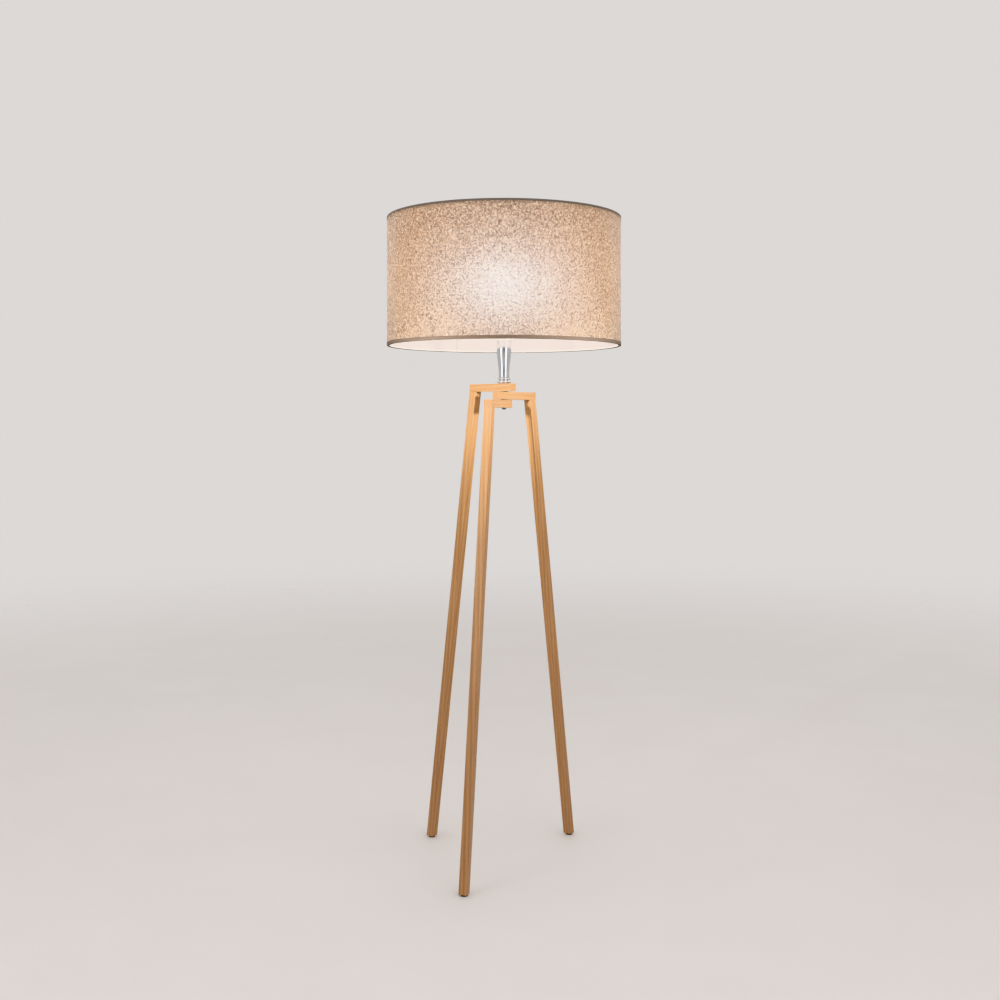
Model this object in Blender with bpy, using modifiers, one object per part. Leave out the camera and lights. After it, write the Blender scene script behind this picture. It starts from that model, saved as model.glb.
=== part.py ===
"""Tripod floor lamp: three wooden legs that swivel on a bolt, a chrome column and a fabric drum shade.

Metres, +Z up. The origin is on the floor, on the lamp's axis, and -Y is the lamp's front.
Each leg is modelled along +X and turned to its azimuth by an empty that stands on the swivel axis.
"""

import math

import bmesh
import bpy
from mathutils import Matrix, Vector

# Gap left between neighbouring pieces
GAP = 0.0003

# Tripod
BAR_WIDTH = 0.0200
FOOT_WIDTH = 0.0190
ARM_THICKNESS = 0.0178
ARM_REACH = 0.0915
ARM_TAIL = 0.0290
FOOT_RADIUS = 0.2375
PAD_HEIGHT = 0.0030
PAD_RADIUS = 0.0085
PAD_CHAMFER = 0.0006
EDGE_ROUND = 0.0011
DOWEL_RADIUS = 0.0040
DOWEL_CHAMFER = 0.0010
DOWEL_IN_ARM = 0.0100
DOWEL_IN_LEG = 0.0200
HEAD_TOP = 1.1200
AZIMUTHS = {"left": 139.0, "right": 47.0, "front": 248.5}
WASHER_THICKNESS = 0.0010
WASHER_RADIUS = 0.0090
NUT_WASHER_RADIUS = 0.0082
NUT_FLATS = 0.0140
NUT_HEIGHT = 0.0040
NUT_CHAMFER = 0.0005
COUNTERBORE_RADIUS = 0.0085

# Column
TUBE_RADIUS = 0.0050
TUBE_BORE = 0.0038
TUBE_BELOW_ARMS = 0.0022
BUSH_LIP = 0.0014
BUSH_LENGTH = 0.0090
BUSH_WALL = 0.0008
BUSH_CHAMFER = 0.0007
FLANGE_RADIUS = 0.0165
FLANGE_HEIGHT = 0.0072
COLLAR_RADIUS = 0.0150
COLLAR_HEIGHT = 0.0066
SLEEVE_HEIGHT = 0.0855
SLEEVE_FOOT_RADIUS = 0.0126
SLEEVE_TOP_RADIUS = 0.0178
SLEEVE_WALL = 0.0012
SLEEVE_EDGE = 0.0006
SLEEVE_SHARES = (1.0, 0.93, 0.85, 0.72, 0.56, 0.38, 0.18)
SWELL_START = 0.12
SWELL_LENGTH = 0.73

# Lampholder, heights counted from the top of the sleeve
CAP_HEIGHT = 0.0185
CAP_RADIUS = 0.0200
SKIRT_HEIGHT = 0.0525
SKIRT_RADIUS = 0.0195
SKIRT_BORE = 0.0170
RING_FLANGE_RADIUS = 0.0270
HUB_LEVEL = 0.0280
HUB_THICKNESS = 0.0020
HUB_RADIUS = 0.0280
HOLDER_WALL = 0.0016
CAP_BOSS = 0.0050
CAP_SHOULDER = 0.0083
TUBE_IN_HOLDER = 0.0130
SKIRT_FLANGE = 0.0025
INSERT_LIFT = 0.0015
INSERT_HEIGHT = 0.0155
INSERT_SHOULDER = 0.0124
INSERT_TOP_RADIUS = 0.0135
SHELL_CLEARANCE = 0.0007
SHELL_WALL = 0.0006
SHELL_HEIGHT = 0.0285
CLAMP_RING_HEIGHT = 0.0090
CLAMP_RING_EDGE = 0.0006
CONTACT_WIDTH = 0.0060
CONTACT_THICKNESS = 0.0004
CONTACT_STATIONS = (-0.0095, -0.0055, -0.0015, 0.0025)

# Bulb, with the common 27 mm screw cap
BULB_TIP_LEVEL = 0.0445
BULB_TIP_RADIUS = 0.0045
BULB_TIP_HEIGHT = 0.0014
BULB_TIP_FLAT_RADIUS = 0.0030
BULB_TIP_CHAMFER = 0.0007
INSULATOR_HEIGHT = 0.0036
INSULATOR_FOOT_RADIUS = 0.0065
BULB_CAP_RADIUS = 0.0130
BULB_CAP_HEIGHT = 0.0190
BULB_CAP_EDGE = 0.0010
BULB_NECK_FOOT_RADIUS = 0.0135
BULB_NECK_TOP_RADIUS = 0.0265
BULB_NECK_HEIGHT = 0.0380
BULB_GLOBE_RADIUS = 0.0300

# Shade
SHADE_RADIUS = 0.2750
SHADE_HEIGHT = 0.3000
SHADE_BOTTOM = 1.2080
FABRIC_THICKNESS = 0.0008
LINING_THICKNESS = 0.0005
TRIM_THICKNESS = 0.0005
TOP_TRIM_HEIGHT = 0.0050
BOTTOM_TRIM_HEIGHT = 0.0080
WIRE_RADIUS = 0.00175
SPIDER_WIRE_RADIUS = 0.0016
SPIDER_BEND = 0.0090
SPIDER_AZIMUTHS = (115.5, 235.5, 355.5)

# Facets round a turn
SHADE_STEPS = 64
COLUMN_STEPS = 32
SMALL_STEPS = 24

# Segments of the curves in a profile
BEAD_SEGMENTS = 8
NECK_SEGMENTS = 8
GLOBE_SEGMENTS = 12
WIRE_SEGMENTS = 6
BEND_SEGMENTS = 5

# Degrees between two faces from which their edge is drawn sharp
SHARP_ANGLE = 30.0

# Heights that follow
ARM_PITCH = ARM_THICKNESS + WASHER_THICKNESS + 2 * GAP
LEG_FOOT = PAD_HEIGHT + GAP
ARM_TOPS = {
    "left": HEAD_TOP,
    "right": HEAD_TOP - ARM_PITCH,
    "front": HEAD_TOP - 2 * ARM_PITCH,
}
HEAD_BOTTOM = ARM_TOPS["front"] - ARM_THICKNESS
FLANGE_FOOT = HEAD_TOP + GAP
COLLAR_FOOT = FLANGE_FOOT + FLANGE_HEIGHT + GAP
SLEEVE_FOOT = COLLAR_FOOT + COLLAR_HEIGHT + GAP
HOLDER_FOOT = SLEEVE_FOOT + SLEEVE_HEIGHT + GAP
HUB_FOOT = HOLDER_FOOT + HUB_LEVEL
BULB_TIP = HOLDER_FOOT + BULB_TIP_LEVEL
SHADE_TOP = SHADE_BOTTOM + SHADE_HEIGHT

# Radii of the shade's layers, from the outside in
FABRIC_RADIUS = SHADE_RADIUS - TRIM_THICKNESS - GAP
LINING_RADIUS = FABRIC_RADIUS - FABRIC_THICKNESS - GAP
RING_RADIUS = LINING_RADIUS - LINING_THICKNESS - GAP - WIRE_RADIUS
TRIM_INNER_RADIUS = RING_RADIUS - WIRE_RADIUS
LAYER_FOOT = SHADE_BOTTOM + TRIM_THICKNESS + GAP
LAYER_TOP = SHADE_TOP - TRIM_THICKNESS - GAP


def clear_scene():
    for obj in list(bpy.data.objects):
        bpy.data.objects.remove(obj)


def make_collection(name):
    collection = bpy.data.collections.new(name)
    bpy.context.scene.collection.children.link(collection)
    return collection


def make_material(name, colour, roughness, metallic=0.0):
    material = bpy.data.materials.new(name)
    material.use_nodes = True
    shader = material.node_tree.nodes["Principled BSDF"]
    shader.inputs["Base Color"].default_value = (*colour, 1.0)
    shader.inputs["Roughness"].default_value = roughness
    shader.inputs["Metallic"].default_value = metallic
    return material


clear_scene()
LAMP = make_collection("tripod_floor_lamp")
CUTTERS = make_collection("cutters")
CUTTERS.hide_render = True

WOOD = make_material("honey_oak", (0.66, 0.33, 0.13), 0.45)
CHROME = make_material("chrome", (0.83, 0.84, 0.86), 0.08, 1.0)
ZINC = make_material("zinc_steel", (0.45, 0.44, 0.42), 0.35, 1.0)
BRASS = make_material("brass", (0.80, 0.60, 0.28), 0.30, 1.0)
WHITE_WIRE = make_material("white_enamel", (0.80, 0.79, 0.76), 0.35)
WHITE_PLASTIC = make_material("white_plastic", (0.82, 0.81, 0.78), 0.35)
BLACK_PLASTIC = make_material("black_plastic", (0.02, 0.02, 0.02), 0.45)
CERAMIC = make_material("ceramic", (0.78, 0.75, 0.68), 0.30)
RUBBER = make_material("dark_rubber", (0.05, 0.035, 0.025), 0.80)
FABRIC = make_material("boucle_fabric", (0.50, 0.38, 0.28), 0.95)
LINING = make_material("white_lining", (0.86, 0.84, 0.80), 0.60)
TRIM = make_material("brown_trim", (0.13, 0.07, 0.045), 0.85)
OPAL = make_material("opal_glass", (0.95, 0.90, 0.80), 0.25)


def add_object(name, data, material, parent=None, collection=LAMP):
    """Links an object, and hangs it on its parent without moving it off the parent's axes."""
    obj = bpy.data.objects.new(name, data)
    collection.objects.link(obj)
    obj.parent = parent
    if material:
        data.materials.append(material)
    return obj


def add_empty(name, location=(0.0, 0.0, 0.0), azimuth=0.0):
    empty = add_object(name, None, None)
    empty.location = location
    empty.rotation_euler.z = math.radians(azimuth)
    empty.empty_display_size = 0.05
    return empty


def mesh_from(bm, name):
    mesh = bpy.data.meshes.new(name)
    bm.to_mesh(mesh)
    bm.free()
    mesh.shade_smooth()
    mesh.set_sharp_from_angle(angle=math.radians(SHARP_ANGLE))
    return mesh


def turned(name, profile, foot, material, parent, steps=COLUMN_STEPS, ring=True):
    """A turned piece: (radius, height) points down its outer side, closed to a ring or open at the axis."""
    mesh = bpy.data.meshes.new(name)
    count = len(profile)
    edges = [(i, i + 1) for i in range(count - 1)]
    if ring:
        edges.append((count - 1, 0))
    mesh.from_pydata([(radius, 0.0, height) for radius, height in profile], edges, [])
    obj = add_object(name, mesh, material, parent)
    obj.location.z = foot
    screw = obj.modifiers.new("turn", "SCREW")
    screw.steps = steps
    screw.render_steps = steps
    screw.use_merge_vertices = True
    screw.merge_threshold = 0.00001
    screw.use_smooth_shade = True
    return obj


def arc(centre_radius, centre_height, radius, start, end, count):
    """Points on an arc in the turning plane, angles in degrees from the outward direction."""
    points = []
    for i in range(count + 1):
        angle = math.radians(start + (end - start) * i / count)
        points.append((centre_radius + radius * math.cos(angle), centre_height + radius * math.sin(angle)))
    return points


def cylinder_mesh(name, radius, bottom, top, steps=SMALL_STEPS, x=0.0):
    bm = bmesh.new()
    placed = Matrix.Translation((x, 0.0, (bottom + top) / 2))
    bmesh.ops.create_cone(
        bm, cap_ends=True, segments=steps, radius1=radius, radius2=radius, depth=top - bottom, matrix=placed
    )
    return mesh_from(bm, name)


def drill(obj, radius, bottom, top, x=0.0, steps=SMALL_STEPS):
    """Cuts an upright round hole through obj, in the axes of obj's parent."""
    name = f"{obj.name}_drill_{len(obj.modifiers)}"
    cutter = add_object(name, cylinder_mesh(name, radius, bottom, top, steps, x), None, obj.parent, CUTTERS)
    cutter.hide_render = True
    cutter.display_type = "WIRE"
    cut = obj.modifiers.new("hole", "BOOLEAN")
    cut.operation = "DIFFERENCE"
    cut.solver = "EXACT"
    cut.object = cutter


def round_edges(obj, width, segments=2):
    bevel = obj.modifiers.new("rounded", "BEVEL")
    bevel.width = width
    bevel.segments = segments
    bevel.limit_method = "WEIGHT"


def weight_edges(bm, keep_sharp):
    """Gives every edge a bevel weight of 1, apart from those whose middle keep_sharp picks."""
    weights = bm.edges.layers.float.new("bevel_weight_edge")
    for edge in bm.edges:
        middle = (edge.verts[0].co + edge.verts[1].co) / 2
        edge[weights] = 0.0 if keep_sharp(middle) else 1.0


def arm(side, pivot):
    """The level arm: bored for the central bolt near one end, with a leg under the other."""
    top = ARM_TOPS[side]
    bottom = top - ARM_THICKNESS
    end = ARM_REACH + BAR_WIDTH / 2
    bm = bmesh.new()
    size = Matrix.Diagonal((end + ARM_TAIL, BAR_WIDTH, ARM_THICKNESS, 1.0))
    centre = Matrix.Translation(((end - ARM_TAIL) / 2, 0.0, (top + bottom) / 2))
    bmesh.ops.create_cube(bm, size=1.0, matrix=centre @ size)
    weight_edges(bm, lambda middle: middle.x > ARM_REACH and middle.z < bottom + GAP)
    obj = add_object(f"{side}_arm", mesh_from(bm, f"{side}_arm"), WOOD, pivot)
    round_edges(obj, EDGE_ROUND)
    drill(obj, TUBE_RADIUS + GAP, bottom - BAR_WIDTH, top + BAR_WIDTH)
    drill(obj, DOWEL_RADIUS + GAP, bottom - BAR_WIDTH, bottom + DOWEL_IN_ARM + GAP, ARM_REACH)
    if side == "front":
        depth = NUT_HEIGHT + WASHER_THICKNESS + 2 * GAP
        drill(obj, COUNTERBORE_RADIUS, bottom - BAR_WIDTH, bottom + depth)


def leg(side, pivot):
    """A square bar that leans outwards and narrows a little, cut level under the arm and at the foot."""
    top = ARM_TOPS[side] - ARM_THICKNESS - GAP
    lean = math.atan2(FOOT_RADIUS - ARM_REACH, top - LEG_FOOT)
    bm = bmesh.new()
    bmesh.ops.create_cube(bm, size=1.0)
    for vert in bm.verts:
        upper = vert.co.z > 0
        width = BAR_WIDTH if upper else FOOT_WIDTH
        centre = ARM_REACH if upper else FOOT_RADIUS
        height = top if upper else LEG_FOOT
        vert.co = Vector((centre + vert.co.x * width / math.cos(lean), vert.co.y * width, height))
    weight_edges(bm, lambda middle: middle.z > top - GAP)
    obj = add_object(f"{side}_leg", mesh_from(bm, f"{side}_leg"), WOOD, pivot)
    round_edges(obj, EDGE_ROUND)
    drill(obj, DOWEL_RADIUS + GAP, top - DOWEL_IN_LEG - GAP, top + BAR_WIDTH, ARM_REACH)


def dowel(side, pivot):
    """The glued pin that joins the arm to its leg, with both ends chamfered."""
    seam = ARM_TOPS[side] - ARM_THICKNESS
    length = DOWEL_IN_ARM + DOWEL_IN_LEG - GAP
    profile = [
        (0.0, length),
        (DOWEL_RADIUS - DOWEL_CHAMFER, length),
        (DOWEL_RADIUS, length - DOWEL_CHAMFER),
        (DOWEL_RADIUS, DOWEL_CHAMFER),
        (DOWEL_RADIUS - DOWEL_CHAMFER, 0.0),
        (0.0, 0.0),
    ]
    obj = turned(f"{side}_dowel", profile, seam - DOWEL_IN_LEG, WOOD, pivot, SMALL_STEPS, ring=False)
    obj.location.x = ARM_REACH


def pad(side, pivot):
    """The rubber pad that the leg stands on."""
    profile = [
        (0.0, PAD_HEIGHT),
        (PAD_RADIUS, PAD_HEIGHT),
        (PAD_RADIUS, PAD_CHAMFER),
        (PAD_RADIUS - PAD_CHAMFER, 0.0),
        (0.0, 0.0),
    ]
    obj = turned(f"{side}_foot_pad", profile, 0.0, RUBBER, pivot, SMALL_STEPS, ring=False)
    obj.location.x = FOOT_RADIUS


def tripod():
    for side, azimuth in AZIMUTHS.items():
        pivot = add_empty(f"{side}_swivel", azimuth=azimuth)
        arm(side, pivot)
        leg(side, pivot)
        dowel(side, pivot)
        pad(side, pivot)


def washer(name, radius, foot, column):
    bore = TUBE_RADIUS + GAP
    profile = [(radius, WASHER_THICKNESS), (radius, 0.0), (bore, 0.0), (bore, WASHER_THICKNESS)]
    turned(name, profile, foot, ZINC, column, SMALL_STEPS)


def hex_nut(name, foot, column):
    """A thin six-sided nut, its corners turned off on both faces."""
    bm = bmesh.new()
    corner = NUT_FLATS / math.sqrt(3)
    placed = Matrix.Translation((0.0, 0.0, foot + NUT_HEIGHT / 2))
    bmesh.ops.create_cone(
        bm, cap_ends=True, segments=6, radius1=corner, radius2=corner, depth=NUT_HEIGHT, matrix=placed
    )
    level = [edge for edge in bm.edges if abs(edge.verts[0].co.z - edge.verts[1].co.z) < GAP]
    bmesh.ops.bevel(bm, geom=level, offset=NUT_CHAMFER, segments=1, affect="EDGES")
    obj = add_object(name, mesh_from(bm, name), ZINC, column)
    drill(obj, TUBE_RADIUS + GAP, foot - NUT_HEIGHT, foot + 2 * NUT_HEIGHT)


def bolt_hardware(column):
    """The hollow bolt, the nuts that clamp the three arms on it, and the washers that they turn on."""
    tube_foot = HEAD_BOTTOM - TUBE_BELOW_ARMS
    length = HOLDER_FOOT + TUBE_IN_HOLDER - tube_foot
    profile = [(TUBE_RADIUS, length), (TUBE_RADIUS, 0.0), (TUBE_BORE, 0.0), (TUBE_BORE, length)]
    turned("hollow_bolt", profile, tube_foot, ZINC, column, SMALL_STEPS)
    hex_nut("lower_nut", HEAD_BOTTOM, column)
    washer("nut_washer", NUT_WASHER_RADIUS, HEAD_BOTTOM + NUT_HEIGHT + GAP, column)
    washer("lower_arm_washer", WASHER_RADIUS, ARM_TOPS["front"] + GAP, column)
    washer("upper_arm_washer", WASHER_RADIUS, ARM_TOPS["right"] + GAP, column)
    hex_nut("upper_nut", SLEEVE_FOOT + 2 * SLEEVE_WALL + GAP, column)
    cord_bushing(tube_foot, column)


def cord_bushing(tube_foot, column):
    """The plastic bush pressed up into the bolt's lower end, where the mains lead would come out."""
    bore = TUBE_BORE - GAP - BUSH_WALL
    profile = [
        (TUBE_BORE - GAP, BUSH_LENGTH),
        (TUBE_BORE - GAP, BUSH_LIP),
        (TUBE_RADIUS, BUSH_LIP),
        (TUBE_RADIUS, BUSH_CHAMFER),
        (TUBE_RADIUS - BUSH_CHAMFER, 0.0),
        (bore + BUSH_CHAMFER, 0.0),
        (bore, BUSH_CHAMFER),
        (bore, BUSH_LENGTH),
    ]
    turned("cord_bushing", profile, tube_foot - BUSH_LIP - GAP, BLACK_PLASTIC, column, SMALL_STEPS)


def beaded_ring(name, radius, height, foot, column):
    """A chrome ring with a half-round rim, bored for the bolt."""
    bore = TUBE_RADIUS + GAP
    bead = height / 2
    rim = arc(radius - bead, bead, bead, 90, -90, BEAD_SEGMENTS)
    turned(name, [*rim, (bore, 0.0), (bore, height)], foot, CHROME, column)


def swelling(share):
    """Rises smoothly from 0 to 1 as share does."""
    held = min(max(share, 0.0), 1.0)
    return held * held * (3 - 2 * held)


def sleeve(column):
    """The chrome cup: a slim round foot that widens into the lampholder's seat, open at the top."""
    bore = TUBE_RADIUS + GAP
    foot_wall = 2 * SLEEVE_WALL
    rise = SLEEVE_TOP_RADIUS - SLEEVE_FOOT_RADIUS
    outer = [
        (SLEEVE_FOOT_RADIUS + rise * swelling((share - SWELL_START) / SWELL_LENGTH), share * SLEEVE_HEIGHT)
        for share in SLEEVE_SHARES
    ]
    inner = [(radius - SLEEVE_WALL, height) for radius, height in reversed(outer)]
    edge = [(SLEEVE_FOOT_RADIUS, SLEEVE_EDGE), (SLEEVE_FOOT_RADIUS - SLEEVE_EDGE, 0.0)]
    floor = [(bore, 0.0), (bore, foot_wall), (SLEEVE_FOOT_RADIUS - SLEEVE_WALL, foot_wall)]
    turned("chrome_sleeve", [*outer, *edge, *floor, *inner], SLEEVE_FOOT, CHROME, column)


def holder_cap(column):
    bore = TUBE_RADIUS + GAP
    inside = CAP_RADIUS - HOLDER_WALL
    profile = [
        (CAP_RADIUS, CAP_HEIGHT),
        (CAP_RADIUS, CAP_SHOULDER),
        (SLEEVE_TOP_RADIUS, 0.0),
        (bore, 0.0),
        (bore, CAP_BOSS),
        (SLEEVE_TOP_RADIUS - HOLDER_WALL, CAP_BOSS),
        (inside, CAP_SHOULDER + HOLDER_WALL),
        (inside, CAP_HEIGHT),
    ]
    turned("holder_cap", profile, HOLDER_FOOT, WHITE_PLASTIC, column, SMALL_STEPS)


def holder_skirt(foot, column):
    """The skirt that carries the shade on its flange and shuts the lampholder's sides."""
    flange_top = HUB_FOOT - GAP - foot
    flange_foot = flange_top - SKIRT_FLANGE
    profile = [
        (SKIRT_RADIUS, SKIRT_HEIGHT),
        (SKIRT_RADIUS, flange_top),
        (RING_FLANGE_RADIUS, flange_top),
        (RING_FLANGE_RADIUS, flange_foot),
        (SKIRT_RADIUS, flange_foot),
        (SKIRT_RADIUS, 0.0),
        (SKIRT_BORE, 0.0),
        (SKIRT_BORE, SKIRT_HEIGHT),
    ]
    turned("holder_skirt", profile, foot, WHITE_PLASTIC, column, SMALL_STEPS)


def holder_insert(foot, column):
    """The ceramic core, with the brass screw shell standing on its shoulder and the contact on its top."""
    profile = [
        (0.0, INSERT_HEIGHT),
        (INSERT_TOP_RADIUS, INSERT_HEIGHT),
        (INSERT_TOP_RADIUS, INSERT_SHOULDER),
        (SKIRT_BORE - GAP, INSERT_SHOULDER),
        (SKIRT_BORE - GAP, 0.0),
        (0.0, 0.0),
    ]
    turned("holder_insert", profile, foot, CERAMIC, column, SMALL_STEPS, ring=False)
    inner = BULB_CAP_RADIUS + SHELL_CLEARANCE
    outer = inner + SHELL_WALL
    shell = [(outer, SHELL_HEIGHT), (outer, 0.0), (inner, 0.0), (inner, SHELL_HEIGHT)]
    turned("screw_shell", shell, foot + INSERT_SHOULDER + GAP, BRASS, column, SMALL_STEPS)
    centre_contact(foot + INSERT_HEIGHT + GAP, column)


def centre_contact(foot, column):
    """The sprung brass tongue under the bulb's tip: a strip that lies flat, then rises to the tip."""
    rise = BULB_TIP - GAP - CONTACT_THICKNESS - foot
    line = list(zip(CONTACT_STATIONS, (0.0, 0.0, rise, rise)))
    outline = line + [(x, z + CONTACT_THICKNESS) for x, z in reversed(line)]
    curve = bpy.data.curves.new("centre_contact", "CURVE")
    curve.dimensions = "2D"
    curve.fill_mode = "BOTH"
    curve.extrude = CONTACT_WIDTH / 2
    spline = curve.splines.new("POLY")
    spline.points.add(len(outline) - 1)
    for point, (x, z) in zip(spline.points, outline):
        point.co = (x, z, 0.0, 1.0)
    spline.use_cyclic_u = True
    obj = add_object("centre_contact", curve, BRASS, column)
    obj.location.z = foot
    obj.rotation_euler.x = math.pi / 2


def clamp_ring(column):
    """The ring that screws down on the skirt and holds the shade's hub."""
    bore = SKIRT_RADIUS + GAP
    profile = [
        (RING_FLANGE_RADIUS - CLAMP_RING_EDGE, CLAMP_RING_HEIGHT),
        (RING_FLANGE_RADIUS, CLAMP_RING_HEIGHT - CLAMP_RING_EDGE),
        (RING_FLANGE_RADIUS, 0.0),
        (bore, 0.0),
        (bore, CLAMP_RING_HEIGHT),
    ]
    turned("shade_clamp_ring", profile, HUB_FOOT + HUB_THICKNESS + GAP, WHITE_PLASTIC, column, SMALL_STEPS)


def lampholder(column):
    skirt_foot = HOLDER_FOOT + CAP_HEIGHT + GAP
    holder_cap(column)
    holder_skirt(skirt_foot, column)
    holder_insert(skirt_foot + INSERT_LIFT, column)
    clamp_ring(column)


def bulb(column):
    """An opal glass bulb with a 27 mm screw cap, screwed down onto the centre contact."""
    tip = add_empty("bulb_seat", (0.0, 0.0, BULB_TIP))
    tip.parent = column
    contact = [
        (0.0, BULB_TIP_HEIGHT),
        (BULB_TIP_RADIUS, BULB_TIP_HEIGHT),
        (BULB_TIP_RADIUS, BULB_TIP_CHAMFER),
        (BULB_TIP_FLAT_RADIUS, 0.0),
        (0.0, 0.0),
    ]
    turned("bulb_contact", contact, 0.0, ZINC, tip, SMALL_STEPS, ring=False)

    insulator_foot = BULB_TIP_HEIGHT + GAP
    insulator = [
        (0.0, INSULATOR_HEIGHT),
        (BULB_CAP_RADIUS - BULB_CAP_EDGE, INSULATOR_HEIGHT),
        (INSULATOR_FOOT_RADIUS, 0.0),
        (0.0, 0.0),
    ]
    turned("bulb_insulator", insulator, insulator_foot, BLACK_PLASTIC, tip, SMALL_STEPS, ring=False)

    cap_foot = insulator_foot + INSULATOR_HEIGHT + GAP
    cap = [
        (0.0, BULB_CAP_HEIGHT),
        (BULB_CAP_RADIUS, BULB_CAP_HEIGHT),
        (BULB_CAP_RADIUS, BULB_CAP_EDGE),
        (BULB_CAP_RADIUS - BULB_CAP_EDGE, 0.0),
        (0.0, 0.0),
    ]
    turned("bulb_screw_cap", cap, cap_foot, CHROME, tip, SMALL_STEPS, ring=False)

    neck_foot = cap_foot + BULB_CAP_HEIGHT + GAP
    rise = BULB_NECK_TOP_RADIUS - BULB_NECK_FOOT_RADIUS
    shares = [1 - i / NECK_SEGMENTS for i in range(NECK_SEGMENTS + 1)]
    neck = [(BULB_NECK_FOOT_RADIUS + rise * swelling(share), BULB_NECK_HEIGHT * share) for share in shares]
    profile = [(0.0, BULB_NECK_HEIGHT), *neck, (0.0, 0.0)]
    turned("bulb_neck", profile, neck_foot, OPAL, tip, SMALL_STEPS, ring=False)

    globe_foot = neck_foot + BULB_NECK_HEIGHT + GAP
    start = -math.degrees(math.acos(BULB_NECK_TOP_RADIUS / BULB_GLOBE_RADIUS))
    centre = -BULB_GLOBE_RADIUS * math.sin(math.radians(start))
    globe = arc(0.0, centre, BULB_GLOBE_RADIUS, 90, start, GLOBE_SEGMENTS)
    globe[0] = (0.0, globe[0][1])
    turned("bulb_globe", [*globe, (0.0, 0.0)], globe_foot, OPAL, tip, SMALL_STEPS, ring=False)


def layer(name, radius, thickness, material, shade):
    """One skin of the drum: the fabric, or the stiff lining behind it."""
    height = LAYER_TOP - LAYER_FOOT
    profile = [(radius, height), (radius, 0.0), (radius - thickness, 0.0), (radius - thickness, height)]
    turned(name, profile, LAYER_FOOT, material, shade, SHADE_STEPS)


def wire_ring(name, height, shade):
    """The wire hoop that the drum's edge is rolled round."""
    circle = arc(RING_RADIUS, 0.0, WIRE_RADIUS, 90, -270, WIRE_SEGMENTS)
    turned(name, circle[:-1], height, WHITE_WIRE, shade, SHADE_STEPS)


def trim(name, outer_height, foot, shade, upward):
    """The brown tape folded round an edge: it covers the outside and turns in under the hoop."""
    inside = SHADE_RADIUS - TRIM_THICKNESS
    angle = [
        (SHADE_RADIUS, outer_height),
        (SHADE_RADIUS, 0.0),
        (TRIM_INNER_RADIUS, 0.0),
        (TRIM_INNER_RADIUS, TRIM_THICKNESS),
        (inside, TRIM_THICKNESS),
        (inside, outer_height),
    ]
    if not upward:
        angle = [(radius, -height) for radius, height in reversed(angle)]
    turned(name, angle, foot, TRIM, shade, SHADE_STEPS)


def spider(shade):
    """The fitter: a flat hub on the lampholder, and three level wires that turn down to the hoop."""
    bore = SKIRT_RADIUS + GAP
    hub = [(HUB_RADIUS, HUB_THICKNESS), (HUB_RADIUS, 0.0), (bore, 0.0), (bore, HUB_THICKNESS)]
    turned("spider_hub", hub, HUB_FOOT, WHITE_WIRE, shade, SMALL_STEPS)
    level = HUB_FOOT + HUB_THICKNESS / 2
    lower_end = LAYER_FOOT + 2 * WIRE_RADIUS + GAP
    bend = arc(RING_RADIUS - SPIDER_BEND, level - SPIDER_BEND, SPIDER_BEND, 90, 0, BEND_SEGMENTS)
    route = [(HUB_RADIUS + GAP, level), *bend, (RING_RADIUS, lower_end)]
    for number, azimuth in enumerate(SPIDER_AZIMUTHS, start=1):
        name = f"spider_wire_{number}"
        curve = bpy.data.curves.new(name, "CURVE")
        curve.dimensions = "3D"
        curve.bevel_depth = SPIDER_WIRE_RADIUS
        curve.bevel_resolution = 1
        curve.use_fill_caps = True
        spline = curve.splines.new("POLY")
        spline.points.add(len(route) - 1)
        for point, (radius, height) in zip(spline.points, route):
            point.co = (radius, 0.0, height, 1.0)
        wire = add_object(name, curve, WHITE_WIRE, shade)
        wire.rotation_euler.z = math.radians(azimuth)


def drum_shade(shade):
    layer("shade_fabric", FABRIC_RADIUS, FABRIC_THICKNESS, FABRIC, shade)
    layer("shade_lining", LINING_RADIUS, LINING_THICKNESS, LINING, shade)
    wire_ring("bottom_hoop", LAYER_FOOT + WIRE_RADIUS, shade)
    wire_ring("top_hoop", LAYER_TOP - WIRE_RADIUS, shade)
    trim("bottom_trim", BOTTOM_TRIM_HEIGHT, SHADE_BOTTOM, shade, True)
    trim("top_trim", TOP_TRIM_HEIGHT, SHADE_TOP, shade, False)
    spider(shade)


def build():
    column = add_empty("column_axis")
    shade = add_empty("shade_axis")
    tripod()
    bolt_hardware(column)
    beaded_ring("base_flange", FLANGE_RADIUS, FLANGE_HEIGHT, FLANGE_FOOT, column)
    beaded_ring("base_collar", COLLAR_RADIUS, COLLAR_HEIGHT, COLLAR_FOOT, column)
    sleeve(column)
    lampholder(column)
    bulb(column)
    drum_shade(shade)


build()
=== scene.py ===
"""Looks of the tripod floor lamp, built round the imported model.

Metres, +Z up. The lamp stands on the Z axis with its front towards -Y, and every piece is made in the place
of its CAD node.
"""

import math

import bpy
from mathutils import Matrix, Vector, noise

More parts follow.
